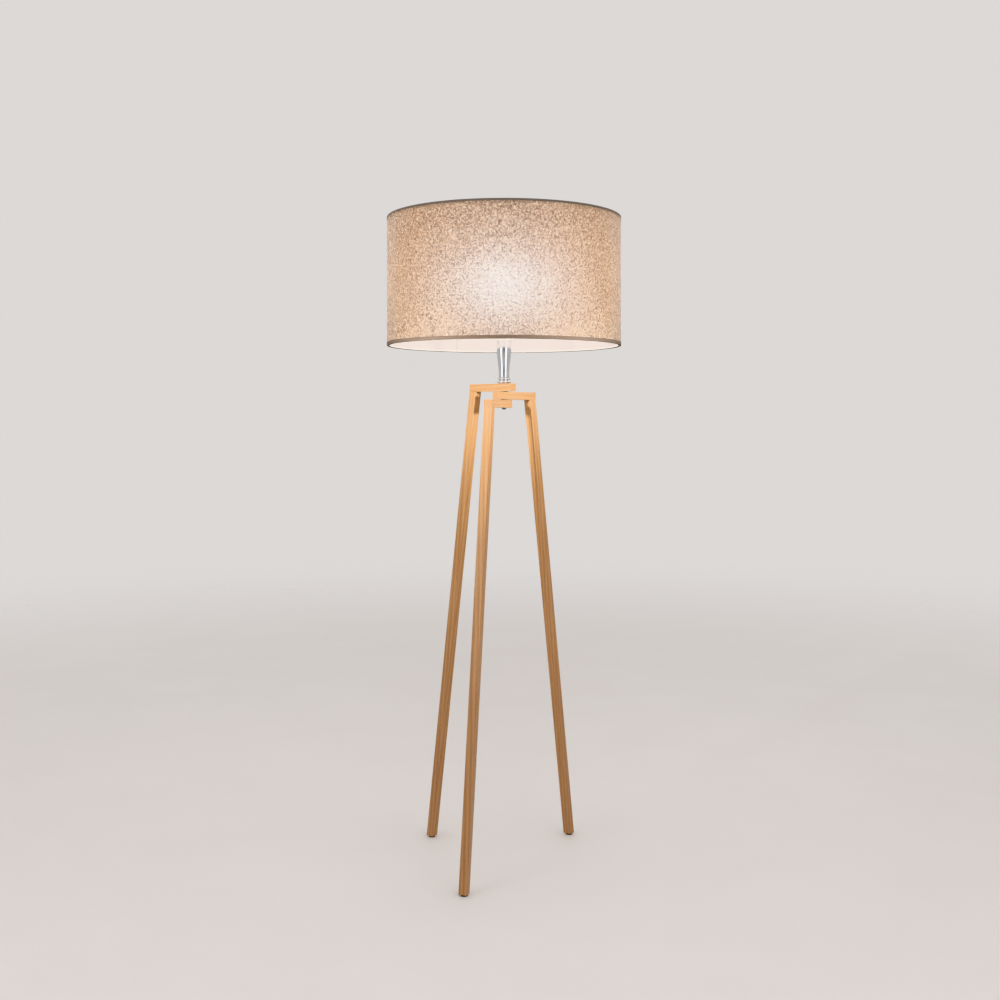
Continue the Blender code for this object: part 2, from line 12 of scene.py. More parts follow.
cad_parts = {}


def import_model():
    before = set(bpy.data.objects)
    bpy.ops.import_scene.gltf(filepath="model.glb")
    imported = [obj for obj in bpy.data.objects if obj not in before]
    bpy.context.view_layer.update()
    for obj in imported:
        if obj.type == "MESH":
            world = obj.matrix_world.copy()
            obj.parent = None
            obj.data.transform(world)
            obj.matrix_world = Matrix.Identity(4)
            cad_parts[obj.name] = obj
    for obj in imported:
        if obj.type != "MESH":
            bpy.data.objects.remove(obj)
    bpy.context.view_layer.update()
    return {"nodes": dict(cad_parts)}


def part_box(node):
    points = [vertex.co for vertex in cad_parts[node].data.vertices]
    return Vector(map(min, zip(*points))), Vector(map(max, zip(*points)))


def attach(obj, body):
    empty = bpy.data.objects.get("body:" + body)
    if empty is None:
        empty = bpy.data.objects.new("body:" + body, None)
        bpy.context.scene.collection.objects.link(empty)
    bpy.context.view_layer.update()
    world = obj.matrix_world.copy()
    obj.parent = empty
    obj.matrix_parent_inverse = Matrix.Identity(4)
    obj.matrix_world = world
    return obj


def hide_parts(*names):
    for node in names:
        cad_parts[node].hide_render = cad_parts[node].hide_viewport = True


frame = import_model()

GAP = 0.0003
TURN = 2 * math.pi


# ---------------------------------------------------------------- places in the CAD


def corners(node):
    low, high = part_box(node)
    return Vector(low), Vector(high)


def bottom(node):
    return corners(node)[0].z


def top(node):
    return corners(node)[1].z


def reach(node):
    """How far the node reaches from the axis along +X."""
    return corners(node)[1].x


def radius(node):
    return corners(node)[1].y


def middle(node):
    low, high = corners(node)
    return (low + high) / 2


# ---------------------------------------------------------------- materials


class Shader:
    """A material's node tree, with short ways to add nodes to it."""

    def __init__(self, name):
        self.material = bpy.data.materials.new(name)
        self.material.use_nodes = True
        self.tree = self.material.node_tree
        self.tree.nodes.clear()
        self.output = self.node("OutputMaterial")
        self.place = self.node("TexCoord").outputs["Object"]

    def feed(self, socket, value):
        if isinstance(value, bpy.types.NodeSocket):
            self.tree.links.new(value, socket)
        else:
            socket.default_value = value

    def node(self, kind, inputs=(), **settings):
        made = self.tree.nodes.new(f"ShaderNode{kind}")
        for name, value in settings.items():
            setattr(made, name, value)
        for key, value in dict(inputs).items():
            self.feed(made.inputs[key], value)
        return made

    def math(self, operation, first, second=0.0):
        return self.node("Math", {0: first, 1: second}, operation=operation).outputs[0]

    def noise(self, vector, scale, detail=2.0, roughness=0.5, distortion=0.0):
        settings = {
            "Vector": vector,
            "Scale": scale,
            "Detail": detail,
            "Roughness": roughness,
            "Distortion": distortion,
        }
        return self.node("TexNoise", settings).outputs["Fac"]

    def stretch(self, vector, scale, rotation=(0.0, 0.0, 0.0), location=(0.0, 0.0, 0.0)):
        settings = {"Vector": vector, "Scale": scale, "Rotation": rotation, "Location": location}
        return self.node("Mapping", settings).outputs[0]

    def fit(self, value, low, high, to_low=0.0, to_high=1.0):
        """The value carried linearly from low..high to to_low..to_high, and held there outside."""
        settings = {0: value, 1: low, 2: high, 3: to_low, 4: to_high}
        return self.node("MapRange", settings).outputs[0]

    def ramp(self, value, stops):
        made = self.node("ValToRGB", {"Fac": value})
        elements = made.color_ramp.elements
        while len(elements) < len(stops):
            elements.new(0.5)
        for element, (position, colour) in zip(elements, stops):
            element.position = position
            element.color = (*colour, 1.0)
        return made.outputs["Color"]

    def blend(self, share, first, second):
        made = self.node("Mix", {0: share}, data_type="RGBA")
        for index, value in ((6, first), (7, second)):
            self.feed(made.inputs[index], (*value, 1.0) if isinstance(value, tuple) else value)
        return made.outputs[2]

    def mix(self, share, first, second):
        return self.node("MixShader", {0: share, 1: first, 2: second}).outputs[0]

    def bump(self, height, distance, strength=1.0):
        return self.node("Bump", {"Height": height, "Distance": distance, "Strength": strength}).outputs[0]

    def translucent(self, colour, normal):
        return self.node("BsdfTranslucent", {"Color": colour, "Normal": normal}).outputs[0]

    def principled(self, colour, roughness, normal=None, **plain):
        inputs = {"Base Color": colour, "Roughness": roughness}
        if normal:
            inputs["Normal"] = normal
        inputs.update({name.replace("_", " "): value for name, value in plain.items()})
        return self.node("BsdfPrincipled", inputs).outputs[0]

    def finish(self, surface):
        self.tree.links.new(surface, self.output.inputs["Surface"])
        return self.material


WOOD_DARK = (0.305, 0.142, 0.055)
WOOD_MIDDLE = (0.400, 0.204, 0.088)
WOOD_LIGHT = (0.475, 0.262, 0.124)
WOOD_PORE = (0.190, 0.080, 0.032)


def wood(name, along, across, seed):
    """Straight-grained honey wood under satin lacquer. The grain runs along one direction, and the year rings
    show on the ends."""
    made = Shader(name)
    along = along.normalized()
    across = (across - along * across.dot(along)).normalized()
    turn = Matrix((across, along.cross(across), along)).to_euler("XYZ")
    bar = made.stretch(made.place, (1.0, 1.0, 1.0), turn, Vector((seed, 2 * seed, 3 * seed)))
    long_grain = made.stretch(bar, (1.0, 1.0, 0.035))
    sway = made.noise(made.stretch(bar, (1.0, 1.0, 0.12)), 45.0, 3.0)
    rings = made.node(
        "TexWave",
        {"Vector": long_grain, "Scale": 62.0, "Distortion": 3.4, "Detail": 2.0, "Detail Scale": 1.4},
        wave_type="BANDS",
        bands_direction="DIAGONAL",
    ).outputs["Fac"]
    streaks = made.noise(long_grain, 620.0, 4.0, 0.65)
    pores = made.fit(made.noise(made.stretch(bar, (1.0, 1.0, 0.06)), 1900.0, 1.0), 0.60, 0.72)
    broad = made.noise(made.stretch(bar, (1.0, 1.0, 0.35)), 9.0, 2.0)
    grain = made.math("ADD", made.math("MULTIPLY", rings, 0.30), made.math("MULTIPLY", streaks, 0.45))
    grain = made.math("ADD", grain, made.math("MULTIPLY", sway, 0.25))
    tone = made.ramp(grain, ((0.26, WOOD_DARK), (0.50, WOOD_MIDDLE), (0.72, WOOD_LIGHT)))
    tone = made.blend(made.fit(broad, 0.3, 0.7, 0.0, 0.35), tone, WOOD_LIGHT)
    facing_out = made.node("TexCoord").outputs["Normal"]
    ends = made.node("VectorMath", {0: facing_out, 1: along}, operation="DOT_PRODUCT").outputs["Value"]
    ends = made.fit(made.math("ABSOLUTE", ends), 0.80, 0.95)
    tone = made.blend(made.math("MULTIPLY", ends, 0.40), tone, WOOD_DARK)
    tone = made.blend(made.math("MULTIPLY", pores, 0.5), tone, WOOD_PORE)
    relief = made.math("SUBTRACT", made.math("MULTIPLY", streaks, 0.4), pores)
    gloss = made.math("ADD", made.fit(streaks, 0.3, 0.7, 0.34, 0.46), made.math("MULTIPLY", pores, 0.15))
    surface = made.principled(
        tone,
        gloss,
        made.bump(relief, 0.00012, 0.6),
        Specular_IOR_Level=0.4,
        Coat_Weight=0.22,
        Coat_Roughness=0.22,
    )
    return made.finish(surface)


CHROME_BRIGHT = (0.80, 0.81, 0.83)
CHROME_WIPED = (0.72, 0.74, 0.77)


def chrome():
    """Plated steel with faint wipe marks and dust."""
    made = Shader("polished_chrome")
    smudge = made.noise(made.stretch(made.place, (1.0, 1.0, 0.35)), 90.0, 4.0, 0.6)
    specks = made.fit(made.noise(made.place, 1400.0, 1.0), 0.70, 0.80)
    tone = made.blend(made.fit(smudge, 0.35, 0.75, 0.0, 0.5), CHROME_BRIGHT, CHROME_WIPED)
    gloss = made.math("ADD", made.fit(smudge, 0.4, 0.8, 0.06, 0.13), made.math("MULTIPLY", specks, 0.15))
    return made.finish(made.principled(tone, gloss, made.bump(smudge, 0.00003, 0.4), Metallic=1.0))


def plated(name, bright, dull, rough):
    """Plain plated or drawn metal, duller in random patches, with fine scratches."""
    made = Shader(name)
    stain = made.noise(made.place, 350.0, 4.0, 0.6)
    scratch = made.noise(made.stretch(made.place, (1.0, 1.0, 12.0)), 500.0, 2.0)
    tone = made.blend(made.fit(stain, 0.35, 0.7), bright, dull)
    gloss = made.fit(scratch, 0.3, 0.7, rough, rough + 0.16)
    return made.finish(made.principled(tone, gloss, made.bump(scratch, 0.00002, 0.5), Metallic=1.0))


def moulded(name, colour, shade, rough, grain=700.0):
    """Moulded plastic, glazed ceramic or enamel: a fine orange-peel surface and a slight change of tone."""
    made = Shader(name)
    peel = made.noise(made.place, grain, 2.0)
    cloud = made.noise(made.place, 60.0, 3.0)
    tone = made.blend(made.fit(cloud, 0.3, 0.7), colour, shade)
    gloss = made.fit(peel, 0.3, 0.7, rough - 0.05, rough + 0.08)
    return made.finish(made.principled(tone, gloss, made.bump(peel, 0.00004, 0.5), Specular_IOR_Level=0.45))


FELT_DARK = (0.045, 0.028, 0.018)
FELT_LIGHT = (0.12, 0.085, 0.06)


def felt():
    """The dark pad under a leg: pressed fibre with a few paler hairs."""
    made = Shader("dark_foot_felt")
    fibre = made.noise(made.stretch(made.place, (1.0, 1.0, 3.0)), 1100.0, 4.0, 0.7, 1.5)
    tone = made.blend(made.fit(fibre, 0.35, 0.75), FELT_DARK, FELT_LIGHT)
    return made.finish(made.principled(tone, made.fit(fibre, 0.3, 0.7, 0.8, 0.98), made.bump(fibre, 0.0003)))


CLEAR_TINT = (1.0, 0.97, 0.93, 1.0)


def let_lamp_through(made, surface, share):
    """Lets a share of the bulb's light straight through one skin of the shade to the next."""
    is_shadow = made.node("LightPath").outputs["Is Shadow Ray"]
    clear = made.node("BsdfTransparent", {"Color": CLEAR_TINT}).outputs[0]
    return made.mix(made.math("MULTIPLY", is_shadow, share), surface, clear)


CLOTH_GLOW = (
    (0.0, (0.49, 0.315, 0.195)),
    (0.50, (0.71, 0.475, 0.305)),
    (0.85, (0.94, 0.685, 0.48)),
    (1.0, (1.0, 0.85, 0.66)),
)
CLOTH_PINHOLE = (1.0, 0.92, 0.80)
CLOTH_DRIFT = (0.80, 0.52, 0.32)
CLOTH_CLEAR_THICK = (0.26, 0.385, 0.60)
CLOTH_CLEAR_THIN = (0.52, 0.74, 1.0)
CLOTH_SPREAD = {"Roughness": 0.85, "IOR": 2.0}
CLOTH_STRAIGHT_SHARE = 0.46
CLOTH_THROUGH_SHARE = 0.70
CLOTH_SHADOW_SHARE = 0.8
YARN_DARK = (0.27, 0.18, 0.12)
YARN_LIGHT = (0.56, 0.44, 0.33)


def boucle():
    """Looped oatmeal cloth: short worm-like slubs in all directions, with pinholes of light between them."""
    made = Shader("oatmeal_boucle")
    field = made.noise(made.place, 78.0, 1.0, 0.5)
    waves = made.math("SINE", made.math("MULTIPLY", field, 44.0))
    breaks = made.noise(made.place, 210.0, 2.0, 0.6)
    pins = made.fit(made.noise(made.place, 300.0, 1.0), 0.56, 0.68)
    loops = made.fit(made.math("ADD", waves, made.fit(breaks, 0.3, 0.7, -1.4, 1.4)), -1.5, 1.5)
    drift = made.noise(made.place, 14.0, 3.0)
    glow = made.ramp(loops, CLOTH_GLOW)
    glow = made.blend(made.math("MULTIPLY", pins, 0.9), glow, CLOTH_PINHOLE)
    glow = made.blend(made.fit(drift, 0.3, 0.7, 0.0, 0.20), glow, CLOTH_DRIFT)
    yarn = made.blend(loops, YARN_DARK, YARN_LIGHT)
    relief = made.bump(made.math("ADD", loops, made.math("MULTIPLY", breaks, 0.5)), 0.0007, 0.6)
    scattered = made.translucent(glow, relief)
    clear = made.blend(loops, CLOTH_CLEAR_THICK, CLOTH_CLEAR_THIN)
    straight = made.node("BsdfRefraction", {"Color": clear, **CLOTH_SPREAD}, distribution="GGX").outputs[0]
    through = made.mix(CLOTH_STRAIGHT_SHARE, scattered, straight)
    facing = made.principled(
        yarn,
        0.95,
        relief,
        Sheen_Weight=0.35,
        Sheen_Roughness=0.5,
        Specular_IOR_Level=0.1,
    )
    surface = made.mix(CLOTH_THROUGH_SHARE, facing, through)
    return made.finish(let_lamp_through(made, surface, CLOTH_SHADOW_SHARE))


FILM_LIGHT = (0.66, 0.63, 0.65)
FILM_DARK = (0.61, 0.58, 0.60)
FILM_GLOW = (0.80, 0.78, 0.76, 1.0)
FILM_THROUGH_SHARE = 0.35


def lining():
    """The stiff white film behind the cloth, lightly embossed."""
    made = Shader("white_lining_film")
    emboss = made.noise(made.place, 900.0, 2.0)
    cloud = made.noise(made.place, 22.0, 3.0)
    tone = made.blend(made.fit(cloud, 0.3, 0.7), FILM_LIGHT, FILM_DARK)
    relief = made.bump(emboss, 0.00006, 0.5)
    facing = made.principled(tone, made.fit(emboss, 0.3, 0.7, 0.5, 0.62), relief, Specular_IOR_Level=0.3)
    surface = made.mix(FILM_THROUGH_SHARE, facing, made.translucent(FILM_GLOW, relief))
    return made.finish(let_lamp_through(made, surface, 1.0))


TAPE_FUZZ = (0.46, 0.39, 0.33)
TAPE_THROUGH_SHARE = 0.3


def tape(name, dark, light):
    """Brown bias tape: a fine diagonal twill."""
    made = Shader(name)
    twill = made.node(
        "TexWave",
        {"Vector": made.place, "Scale": 260.0, "Distortion": 1.2, "Detail": 2.0, "Detail Scale": 3.0},
        bands_direction="DIAGONAL",
    ).outputs["Fac"]
    fuzz = made.noise(made.place, 700.0, 3.0)
    tone = made.blend(twill, dark, light)
    tone = made.blend(made.fit(fuzz, 0.4, 0.75, 0.0, 0.4), tone, TAPE_FUZZ)
    relief = made.bump(made.math("ADD", twill, made.math("MULTIPLY", fuzz, 0.4)), 0.0003, 0.8)
    facing = made.principled(tone, 0.9, relief, Sheen_Weight=0.2, Specular_IOR_Level=0.15)
    return made.finish(made.mix(TAPE_THROUGH_SHARE, facing, made.translucent(tone, relief)))


LAMP_COLOUR = (1.0, 0.95, 0.88)
GLASS_LIGHT = (0.93, 0.90, 0.85)
GLASS_DARK = (0.88, 0.84, 0.78)
GLASS_GLOW = 18.0


def glowing_glass():
    """The lit opal globe of the bulb."""
    made = Shader("lit_opal_glass")
    cloud = made.noise(made.place, 120.0, 2.0)
    surface = made.principled(
        made.blend(cloud, GLASS_LIGHT, GLASS_DARK),
        made.fit(cloud, 0.3, 0.7, 0.22, 0.34),
        Emission_Color=(*LAMP_COLOUR, 1.0),
        Emission_Strength=GLASS_GLOW,
    )
    return made.finish(let_lamp_through(made, surface, 1.0))


CHROME = chrome()
ZINC = plated("zinc_plate", (0.62, 0.60, 0.55), (0.42, 0.40, 0.37), 0.28)
BRASS = plated("brass_sheet", (0.80, 0.60, 0.28), (0.55, 0.38, 0.16), 0.22)
NICKEL = plated("nickel_cap", (0.74, 0.73, 0.70), (0.55, 0.54, 0.52), 0.20)
WHITE_PLASTIC = moulded("white_moulding", (0.80, 0.79, 0.76), (0.74, 0.73, 0.70), 0.34)
BLACK_PLASTIC = moulded("black_moulding", (0.018, 0.018, 0.018), (0.03, 0.03, 0.03), 0.42)
CERAMIC = moulded("glazed_ceramic", (0.76, 0.73, 0.66), (0.66, 0.63, 0.56), 0.26, 300.0)
ENAMEL = moulded("white_enamel", (0.82, 0.81, 0.79), (0.74, 0.73, 0.71), 0.32, 1200.0)
FELT = felt()
BOUCLE = boucle()
LINING = lining()
TOP_TAPE = tape("top_bias_tape", (0.22, 0.185, 0.160), (0.38, 0.320, 0.275))
HEM_TAPE = tape("bottom_bias_tape", (0.185, 0.123, 0.088), (0.31, 0.220, 0.165))
OPAL = glowing_glass()


# ---------------------------------------------------------------- mesh making


def piece(name, shape, material, body, replaced=(), sharp=38.0):
    points, faces = shape
    mesh = bpy.data.meshes.new(name)
    mesh.from_pydata(points, [], faces)
    mesh.update()
    mesh.shade_smooth()
    mesh.set_sharp_from_angle(angle=math.radians(sharp))
    mesh.materials.append(material)
    obj = bpy.data.objects.new(name, mesh)
    bpy.context.scene.collection.objects.link(obj)
    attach(obj, body)
    if replaced:
        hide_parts(*replaced)
    return obj


def eased(share):
    """A share from 0 to 1 with a soft start and end."""
    return share * share * (3 - 2 * share)


def held(value):
    return min(max(value, 0.0), 1.0)


def rounded(outline, size, closed=True, steps=4):
    """The outline with each corner turned into a short curve. The two ends of an open outline stay."""
    count = len(outline)
    longest_cut = 0.48
    result = []
    for i, corner in enumerate(outline):
        here = Vector(corner)
        if not closed and i in (0, count - 1):
            result.append(tuple(here))
            continue
        before = Vector(outline[i - 1]) - here
        after = Vector(outline[(i + 1) % count]) - here
        cut = min(size, before.length * longest_cut, after.length * longest_cut)
        start = here + before.normalized() * cut
        end = here + after.normalized() * cut
        for k in range(steps + 1):
            share = k / steps
            point = start * (1 - share) ** 2 + here * (2 * share * (1 - share)) + end * share**2
            result.append(tuple(point))
    return result


def turned(profile, steps=96, closed=True, bend=None, centre=(0.0, 0.0)):
    """A turned solid from (radius, height) points that run down its outer side. bend(radius, height, angle)
    may move each point, as a thread or a rib does."""
    points, rings, faces = [], [], []
    on_axis = 1e-7
    for r, z in profile:
        first = len(points)
        if r < on_axis:
            points.append((centre[0], centre[1], z))
            rings.append([first] * steps)
            continue
        for i in range(steps):
            angle = TURN * i / steps
            away, height = bend(r, z, angle) if bend else (r, z)
            points.append((centre[0] + away * math.cos(angle), centre[1] + away * math.sin(angle), height))
        rings.append(list(range(first, first + steps)))
    pairs = list(zip(rings, rings[1:]))
    if closed:
        pairs.append((rings[-1], rings[0]))
    for upper, lower in pairs:
        for i in range(steps):
            j = (i + 1) % steps
            loop = dict.fromkeys((lower[i], lower[j], upper[j], upper[i]))
            if len(loop) > 2:
                faces.append(tuple(loop))
    return points, faces


def down_line(r, high, low, count):
    return [(r, high + (low - high) * i / count) for i in range(count + 1)]


def groove(z, angle, pitch):
    """How deep in a thread's groove a point lies: 0 on the crest, 1 at the bottom."""
    phase = (z / pitch - angle / TURN) % 1.0
    return 0.5 + 0.5 * math.cos(TURN * phase)


def thread(crest, low, high, pitch, depth):
    """A right-hand thread cut in the side whose radius is crest, fading out over its first and last turn."""
    same = 1e-6

    def bend(r, z, angle):
        if abs(r - crest) > same:
            return r, z
        return r - depth * held(min(z - low, high - z) / pitch) * groove(z, angle, pitch), z

    return bend


def tube(path, size, sides=16):
    """A round bar along a path, with rounded ends. size(share) is its radius."""
    path = [Vector(p) for p in path]
    count = len(path)
    tangents = [(path[min(i + 1, count - 1)] - path[max(i - 1, 0)]).normalized() for i in range(count)]
    side = tangents[0].orthogonal().normalized()
    stations = [(here, along, size(i / (count - 1))) for i, (here, along) in enumerate(zip(path, tangents))]
    head, tail = stations[0], stations[-1]
    cap_step = math.pi / 8
    for k in (3, 2, 1):
        angle = cap_step * k
        cap = (head[0] - head[1] * head[2] * math.sin(angle), head[1], head[2] * math.cos(angle))
        stations.insert(3 - k, cap)
    for k in (1, 2, 3):
        angle = cap_step * k
        stations.append((tail[0] + tail[1] * tail[2] * math.sin(angle), tail[1], tail[2] * math.cos(angle)))
    rings, points, faces = [], [], []
    for here, along, r in stations:
        side = (side - along * side.dot(along)).normalized()
        other = along.cross(side)
        rings.append(range(len(points), len(points) + sides))
        for i in range(sides):
            angle = TURN * i / sides
            points.append(here + (side * math.cos(angle) + other * math.sin(angle)) * r)
    for first, second in zip(rings, rings[1:]):
        for i in range(sides):
            j = (i + 1) % sides
            faces.append((first[i], first[j], second[j], second[i]))
    faces.append(tuple(reversed(rings[0])))
    faces.append(tuple(rings[-1]))
    return points, faces


# ---------------------------------------------------------------- wooden tripod


def tripod():
    for number, side in enumerate(("left", "right", "front")):
        foot = middle(f"{side}_foot_pad")
        seam = middle(f"{side}_dowel")
        outward = Vector((foot.x, foot.y, 0.0)).normalized()
        across = Vector((0.0, 0.0, 1.0)).cross(outward)
        seed = 0.37 * (number + 1)
        lean = Vector((seam.x - foot.x, seam.y - foot.y, bottom(f"{side}_arm")))
        leg_wood = wood(f"{side}_leg_wood", lean, across, seed)
        arm_wood = wood(f"{side}_arm_wood", outward, across, seed + 0.19)
        for node, material in (("arm", arm_wood), ("leg", leg_wood), ("dowel", leg_wood)):
            for place in frame["nodes"][f"{side}_{node}"].material_slots:
                place.material = material
        pad(side, foot)


def pad(side, foot):
    node = f"{side}_foot_pad"
    low, high = corners(node)
    r = (high.x - low.x) / 2
    height = high.z
    upper_draw, lower_draw, belt, softness = 0.0006, 0.0007, 0.45, 0.0008
    outline = [
        (0.0, height),
        (r - upper_draw, height),
        (r, height * belt),
        (r - lower_draw, 0.0),
        (0.0, 0.0),
    ]
    shape = turned(rounded(outline, softness, False), 48, False, centre=(foot.x, foot.y))
    piece(f"{side}_felt_pad", shape, FELT, f"{side}_leg_assembly", [node])


tripod()


# ---------------------------------------------------------------- bolt, nuts and washers

NUT_FLATS = 0.014
NUT_CHAMFER = 0.0005
BOLT_BORE = 0.0038
BOLT_PITCH = 0.0010
BOLT_THREAD_LENGTH = 0.011
BOLT_THREAD_DEPTH = 0.0006
BOLT_RIM = 0.0004
BOLT_SHANK_RELIEF = 0.0001
ROWS_PER_TURN = 8
WASHER_EDGE = 0.0003
BUSH_LIP = 0.0014
BUSH_BORE = 0.0027
BUSH_EDGE = 0.0007


def hex_nut(name, node):
    """A six-sided nut with its corners turned off, and a chamfered bore."""
    low, high = bottom(node), top(node)
    bore = radius("hollow_bolt") + GAP
    flat = NUT_FLATS / 2
    steps, faces, points = 96, [], []
    corner_fall = 0.6
    twelfth = math.pi / 6
    for i in range(steps):
        angle = TURN * i / steps
        to_flat = (angle + twelfth) % (math.pi / 3) - twelfth
        edge = flat / math.cos(to_flat)
        fall = max(edge - flat, 0.0) * corner_fall
        section = (
            (flat, high),
            (edge, high - fall),
            (edge, low + fall),
            (flat, low),
            (bore + NUT_CHAMFER, low),
            (bore, low + NUT_CHAMFER),
            (bore, high - NUT_CHAMFER),
            (bore + NUT_CHAMFER, high),
        )
        points += [(r * math.cos(angle + twelfth), r * math.sin(angle + twelfth), z) for r, z in section]
    around = len(section)
    for i in range(steps):
        here, there = around * i, around * ((i + 1) % steps)
        for k in range(around):
            m = (k + 1) % around
            faces.append((here + m, there + m, there + k, here + k))
    piece(name, (points, faces), ZINC, "head", [node], 25.0)


def bolt():
    low, high = bottom("hollow_bolt"), top("hollow_bolt")
    r = radius("hollow_bolt")
    cut = BOLT_THREAD_LENGTH
    rows = ROWS_PER_TURN * round(cut / BOLT_PITCH)
    upper_end = high - cut - BOLT_RIM
    lower_end = low + cut + BOLT_RIM
    profile = [(r - BOLT_RIM, high)]
    profile += down_line(r, high - BOLT_RIM, high - cut, rows)
    profile += down_line(r - BOLT_SHANK_RELIEF, upper_end, lower_end, 4)
    profile += down_line(r, low + cut, low + BOLT_RIM, rows)
    profile += [(r - BOLT_RIM, low), (BOLT_BORE, low), (BOLT_BORE, high)]
    lower = thread(r, low - BOLT_PITCH, low + cut, BOLT_PITCH, BOLT_THREAD_DEPTH)
    upper = thread(r, high - cut, high + BOLT_PITCH, BOLT_PITCH, BOLT_THREAD_DEPTH)

    def bend(away, z, angle):
        return (lower if z < (low + high) / 2 else upper)(away, z, angle)

    piece("threaded_tube", turned(profile, 48, True, bend), ZINC, "head", ["hollow_bolt"], 60.0)


def washers():
    bore = radius("hollow_bolt") + GAP
    for node in ("nut_washer", "lower_arm_washer", "upper_arm_washer"):
        foot, head, out = bottom(node), top(node), reach(node)
        outline = rounded([(out, head), (out, foot), (bore, foot), (bore, head)], WASHER_EDGE, True, 3)
        piece(f"{node}_disc", turned(outline, 64), ZINC, "head", [node])


def cord_bush():
    foot, head, out = bottom("cord_bushing"), top("cord_bushing"), radius("hollow_bolt")
    outline = [
        (BOLT_BORE - GAP, head),
        (BOLT_BORE - GAP, foot + BUSH_LIP),
        (out, foot + BUSH_LIP),
        (out, foot),
        (BUSH_BORE, foot),
        (BUSH_BORE, head),
    ]
    shape = turned(rounded(outline, BUSH_EDGE, True, 5), 64)
    piece("cord_bush", shape, BLACK_PLASTIC, "head", ["cord_bushing"])


bolt()
hex_nut("clamping_nut", "lower_nut")
hex_nut("sleeve_nut", "upper_nut")
washers()
cord_bush()


# ---------------------------------------------------------------- chrome column

BEAD_WIDTH = 0.9
BEAD_HEIGHT = 0.86
BEAD_STEPS = 16
SLEEVE_SLIM = 0.0126
SLEEVE_WALL = 0.0012
SLEEVE_ROWS = 40
SLEEVE_RIM = 0.0006
SLEEVE_STRAIGHT_FOOT = 0.12
SLEEVE_FLARE = 0.73
SLEEVE_FOOT = ((0.0, 0.0012), (0.0001, 0.0004), (0.0005, 0.0))


def beads():
    bore = radius("hollow_bolt") + GAP
    for node, name in (("base_flange", "beaded_flange"), ("base_collar", "beaded_collar")):
        low, high = bottom(node), top(node)
        half = (high - low) / 2
        neck = radius(node) - half * BEAD_WIDTH
        outline = [(bore, low), (bore, high), (neck, high)]
        for k in range(BEAD_STEPS + 1):
            angle = math.pi / 2 - math.pi * k / BEAD_STEPS
            away = neck + half * BEAD_WIDTH * math.cos(angle)
            outline.append((away, (low + high) / 2 + half * BEAD_HEIGHT * math.sin(angle)))
        outline.append((neck, low))
        piece(name, turned(outline, 128), CHROME, "head", [node], 50.0)


def sleeve():
    """The sleeve that widens upwards, with a floor that sits on the collar."""
    bore = radius("hollow_bolt") + GAP
    low, high, wide = bottom("chrome_sleeve"), top("chrome_sleeve"), radius("chrome_sleeve")
    height = high - low

    def outer(share):
        return SLEEVE_SLIM + (wide - SLEEVE_SLIM) * eased(held((share - SLEEVE_STRAIGHT_FOOT) / SLEEVE_FLARE))

    shares = [1 - i / SLEEVE_ROWS for i in range(SLEEVE_ROWS + 1)]
    side = [(outer(share), low + height * share) for share in shares]
    rim_r, rim_z = wide - SLEEVE_RIM, high - SLEEVE_RIM
    rim = [(rim_r + SLEEVE_RIM * math.cos(a), rim_z + SLEEVE_RIM * math.sin(a)) for a in (1.57, 1.0, 0.5)]
    foot = [(SLEEVE_SLIM - inward, low + up) for inward, up in SLEEVE_FOOT]
    floor_top = low + 2 * SLEEVE_WALL
    base = [(bore, low), (bore, floor_top), (SLEEVE_SLIM - SLEEVE_WALL - 0.001, floor_top)]
    inner = [(r - SLEEVE_WALL, z) for r, z in reversed(side[:-2])]
    outline = rim + side[1:-1] + foot + base + inner
    piece("flared_sleeve", turned(outline, 160), CHROME, "head", ["chrome_sleeve"], 45.0)


beads()
sleeve()


# ---------------------------------------------------------------- lampholder

EDISON_PITCH = 0.003629

DOME_WALL = 0.0016
DOME_BOSS = 0.0050
DOME_LIP = 0.0005
DOME_EDGE = 0.0008

SKIRT_OUTSIDE = 0.0195
SKIRT_INSIDE = 0.0170
SKIRT_RELIEF = 0.0001
SKIRT_FLANGE = 0.0025
SKIRT_THREAD_RISE = 0.0040
SKIRT_PITCH = 0.0025
SKIRT_THREAD_DEPTH = 0.0009
SKIRT_ROWS = 120

CORE_SPIGOT = 0.0135
CORE_STEP = 0.8
CORE_EDGE = 0.0008

SHELL_INSIDE = 0.0137
SHELL_OUTSIDE = 0.0143
SHELL_FORM = 0.0005
SHELL_FADE = 0.002
SHELL_ROWS = 64

RING_BORE = 0.0198
RING_EDGE = 0.0009
RING_RIBS = 36
RING_GROOVE = 0.0005
RING_PLAIN_BAND = 0.0012

TONGUE_THICKNESS = 0.0004
TONGUE_STEPS = 24


def dome():
    bore = radius("hollow_bolt") + GAP
    low, high, out = bottom("holder_cap"), top("holder_cap"), reach("holder_cap")
    seat = radius("chrome_sleeve")
    height = high - low
    inside = out - DOME_WALL - DOME_LIP
    outline = [
        (out, high),
        (out, high - 0.0020),
        (out - DOME_LIP, high - 0.0026),
        (out - DOME_LIP, low + height * 0.50),
        (out, low + height * 0.45),
        (seat, low),
        (bore, low),
        (bore, low + DOME_BOSS),
        (seat - DOME_WALL, low + DOME_BOSS),
        (inside, low + height * 0.55),
        (inside, high),
    ]
    shape = turned(rounded(outline, DOME_EDGE), 128)
    piece("holder_dome", shape, WHITE_PLASTIC, "head", ["holder_cap"])


